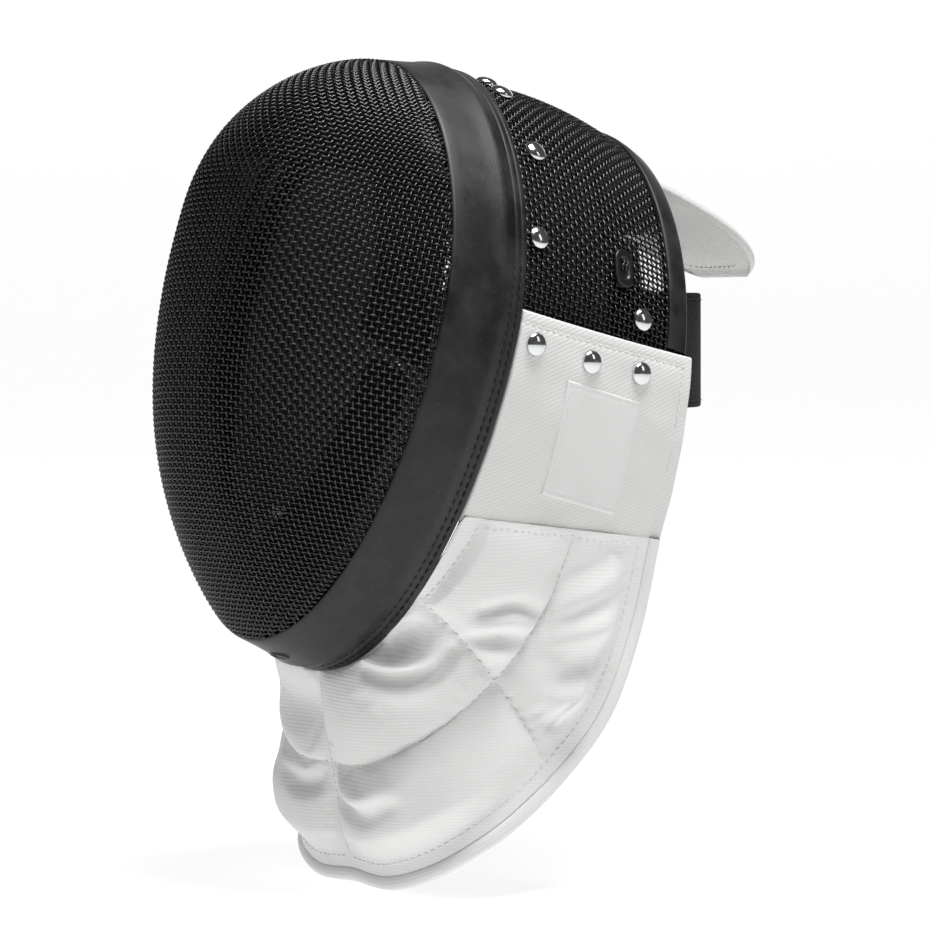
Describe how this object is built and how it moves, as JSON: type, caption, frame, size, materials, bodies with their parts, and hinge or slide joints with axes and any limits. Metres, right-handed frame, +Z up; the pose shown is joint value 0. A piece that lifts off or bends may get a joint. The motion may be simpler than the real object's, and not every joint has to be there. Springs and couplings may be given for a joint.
{
  "type": "fencing mask",
  "caption": "Woven-wire face mask with a rubber rim, padded lining, quilted throat bib, rear tongue and elastic back strap.",
  "frame": {"origin": "the head's seat under the crown, on the underside of the tongue's root", "axes": "-Y where the face looks, +X the wearer's left, +Z up, as worn"},
  "size_m": [0.2122, 0.3224, 0.3849],
  "materials": {
    "black_coated_wire": "satin black coating on woven steel wire",
    "black_rubber": "satin",
    "grey_padding": "matt",
    "white_canvas": "matt twill",
    "white_woven_label": "matt, bare",
    "white_vinyl": "satin",
    "black_elastic": "matt",
    "polished_steel": "polished",
    "black_painted_steel": "satin"
  },
  "bodies": {
    "root": {"front_mesh": "black_coated_wire", "side_mesh": "black_coated_wire", "front_trim": "black_rubber", "rear_trim": "black_rubber", "side_lining": "grey_padding", "forehead_pad": "grey_padding", "chin_pad": "grey_padding", "bib": "white_canvas", "bib_binding": "white_canvas", "left_flap": "white_canvas", "right_flap": "white_canvas", "left_label": "white_woven_label", "right_label": "white_woven_label", "tongue": "white_vinyl", "back_strap": "black_elastic", "left_clip": "black_painted_steel", "right_clip": "black_painted_steel", "left_rivet_1": "polished_steel", "left_rivet_2": "polished_steel", "left_rivet_3": "polished_steel", "left_rivet_4": "polished_steel", "left_rivet_5": "polished_steel", "left_rivet_6": "polished_steel", "left_rivet_7": "polished_steel", "left_tongue_rivet": "polished_steel", "right_rivet_1": "polished_steel", "right_rivet_2": "polished_steel", "right_rivet_3": "polished_steel", "right_rivet_4": "polished_steel", "right_rivet_5": "polished_steel", "right_rivet_6": "polished_steel", "right_rivet_7": "polished_steel", "right_tongue_rivet": "polished_steel"}
  },
  "joints": []
}
